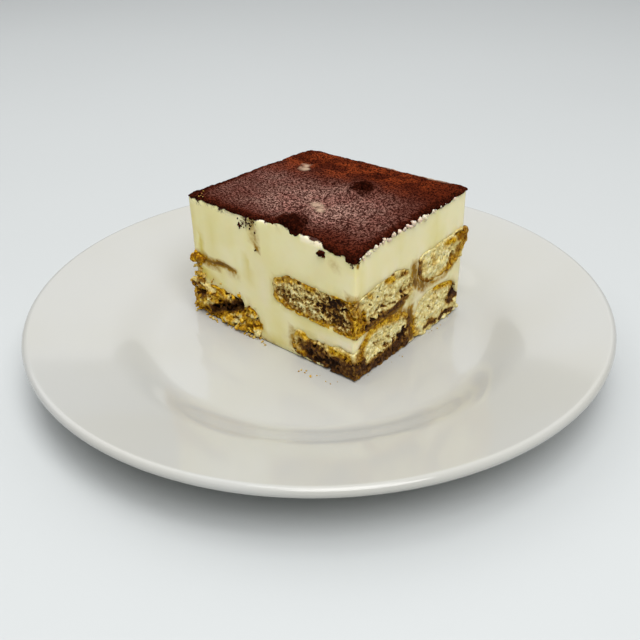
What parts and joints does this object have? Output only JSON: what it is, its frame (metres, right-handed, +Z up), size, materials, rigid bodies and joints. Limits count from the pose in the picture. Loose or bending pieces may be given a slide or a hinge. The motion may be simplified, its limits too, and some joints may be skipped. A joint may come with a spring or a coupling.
{
  "type": "tiramisu slice",
  "caption": "Square-cut tiramisu slice on a round dessert plate: cream, two layers of soaked ladyfingers and a cocoa top.",
  "frame": {"origin": "on the table under the centre of the plate, at the bottom of its foot ring", "axes": "+Z up; +X along the ladyfingers towards the slice's cut end, so the two cut faces of the slice are the -Y face and the +X face"},
  "size_m": [0.21, 0.21, 0.0578],
  "materials": {
    "glazed_porcelain": "smooth glossy off-white glaze",
    "mascarpone_cream": "smooth set cream, pale yellow ivory, softly moist",
    "cocoa_powder": "dry dusted cocoa, dark reddish brown, moist in patches",
    "soaked_ladyfinger": "porous sponge crumb, golden crust, coffee-soaked dark brown in places"
  },
  "bodies": {
    "root": {"plate": "glazed_porcelain", "mascarpone_cream": "mascarpone_cream", "cocoa_layer": "cocoa_powder", "ladyfinger_upper_front": "soaked_ladyfinger", "ladyfinger_upper_back": "soaked_ladyfinger", "ladyfinger_lower_front": "soaked_ladyfinger", "ladyfinger_lower_back": "soaked_ladyfinger", "ladyfinger_upper_left_front": "soaked_ladyfinger", "ladyfinger_upper_left_back": "soaked_ladyfinger", "ladyfinger_lower_left_front": "soaked_ladyfinger", "ladyfinger_lower_left_back": "soaked_ladyfinger"}
  },
  "joints": []
}
